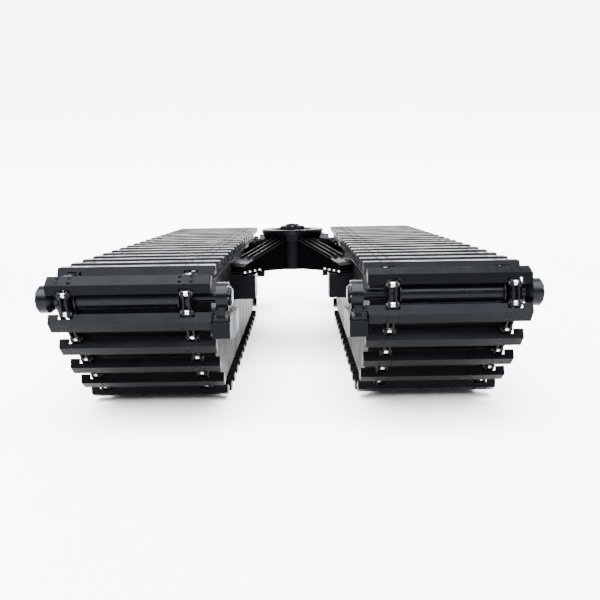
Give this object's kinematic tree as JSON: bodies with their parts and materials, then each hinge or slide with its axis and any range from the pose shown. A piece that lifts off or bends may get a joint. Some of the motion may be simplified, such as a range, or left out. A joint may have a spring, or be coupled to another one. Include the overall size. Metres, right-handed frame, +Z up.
{
  "type": "tracked undercarriage",
  "caption": "Amphibious tracked undercarriage: chain-tracked pontoon hulls joined by a centre frame with a slewing ring and swivel.",
  "frame": {"origin": "on the ground under the slewing axis, midway between the tracks", "axes": "+Z up; -Y the idler end, +Y the drive end; +X the right-hand track"},
  "size_m": [4.852, 7.6748, 1.878],
  "materials": {
    "shoe_paint": "semi-gloss blue-black paint",
    "hull_paint": "satin grey-black paint, weathered",
    "frame_paint": "semi-gloss blue-black paint",
    "axle_paint": "gloss blue-black paint",
    "ring_paint": "gloss blue-black paint",
    "chain_steel": "dark oiled steel",
    "bright_steel": "ground bright steel",
    "bolt_steel": "dark plated steel",
    "casting": "painted casting"
  },
  "bodies": {
    "chassis": {"bracket_bolts": "bolt_steel", "chain_bushings": "bright_steel", "chain_pins": "bright_steel", "chain_rails": "chain_steel", "deck_hatches": "hull_paint", "drive_covers": "axle_paint", "frame_leg_front_left": "frame_paint", "frame_leg_front_right": "frame_paint", "frame_leg_rear_left": "frame_paint", "frame_leg_rear_right": "frame_paint", "frame_pedestal": "frame_paint", "hull_bulkheads": "hull_paint", "lashing_eyes": "frame_paint", "left_drive_bearings": "axle_paint", "left_drive_gearbox": "axle_paint", "left_drive_motor": "casting", "left_frame_sockets": "frame_paint", "left_hull_deck": "hull_paint", "left_hull_tub": "hull_paint", "left_idler_seats": "frame_paint", "left_tension_cylinders": "casting", "left_track_shoes": "shoe_paint", "narrow_link_plates": "chain_steel", "right_drive_bearings": "axle_paint", "right_drive_gearbox": "axle_paint", "right_drive_motor": "casting", "right_frame_sockets": "frame_paint", "right_hull_deck": "hull_paint", "right_hull_tub": "hull_paint", "right_idler_seats": "frame_paint", "right_tension_cylinders": "casting", "right_track_shoes": "shoe_paint", "shoe_bolts": "bolt_steel", "shoe_pads": "shoe_paint", "slew_inner_ring": "ring_paint", "swivel_housing": "casting", "wide_link_plates": "chain_steel"},
    "left_idler_carriage": {"left_idler_bearings": "axle_paint", "left_idler_covers": "axle_paint", "left_idler_bolts": "bolt_steel", "left_tension_rods": "bright_steel"},
    "left_idler": {"left_idler_shaft": "axle_paint", "left_idler_drum": "axle_paint", "left_idler_wheels": "axle_paint"},
    "left_drive_axle": {"left_drive_shaft": "axle_paint", "left_sprockets": "chain_steel", "left_sprocket_bolts": "bolt_steel"},
    "right_idler_carriage": {"right_idler_bearings": "axle_paint", "right_idler_covers": "axle_paint", "right_idler_bolts": "bolt_steel", "right_tension_rods": "bright_steel"},
    "right_idler": {"right_idler_shaft": "axle_paint", "right_idler_drum": "axle_paint", "right_idler_wheels": "axle_paint"},
    "right_drive_axle": {"right_drive_shaft": "axle_paint", "right_sprockets": "chain_steel", "right_sprocket_bolts": "bolt_steel"},
    "slewing_ring": {"slew_outer_ring": "ring_paint"},
    "slewing_balls": {"slew_balls": "bright_steel"},
    "swivel_joint": {"swivel_rotor": "casting"}
  },
  "joints": [
    {"name": "left_idler_tension", "type": "slide", "parent": "chassis", "child": "left_idler_carriage", "axis": [0, 1, 0], "range_m": [0, 0.06]},
    {"name": "left_idler_spin", "type": "hinge", "parent": "left_idler_carriage", "child": "left_idler", "pos_m": [-1.545, -3.5893, 1.356], "axis": [1, 0, 0], "continuous": true},
    {"name": "left_drive_spin", "type": "hinge", "parent": "chassis", "child": "left_drive_axle", "pos_m": [-1.545, 3.5893, 1.356], "axis": [1, 0, 0], "continuous": true},
    {"name": "right_idler_tension", "type": "slide", "parent": "chassis", "child": "right_idler_carriage", "axis": [0, 1, 0], "range_m": [0, 0.06]},
    {"name": "right_idler_spin", "type": "hinge", "parent": "right_idler_carriage", "child": "right_idler", "pos_m": [1.545, -3.5893, 1.356], "axis": [1, 0, 0], "continuous": true},
    {"name": "right_drive_spin", "type": "hinge", "parent": "chassis", "child": "right_drive_axle", "pos_m": [1.545, 3.5893, 1.356], "axis": [1, 0, 0], "continuous": true},
    {"name": "slewing", "type": "hinge", "parent": "chassis", "child": "slewing_ring", "pos_m": [0, 0, 1.768], "axis": [0, 0, 1], "continuous": true},
    {"name": "ball_orbit", "type": "hinge", "parent": "chassis", "child": "slewing_balls", "pos_m": [0, 0, 1.768], "axis": [0, 0, 1], "continuous": true},
    {"name": "swivel_spin", "type": "hinge", "parent": "chassis", "child": "swivel_joint", "pos_m": [0, 0, 1.768], "axis": [0, 0, 1], "continuous": true}
  ],
  "couplings": [
    {"joint": "ball_orbit", "follows": "slewing", "ratio": 0.5},
    {"joint": "swivel_spin", "follows": "slewing", "ratio": 1}
  ]
}
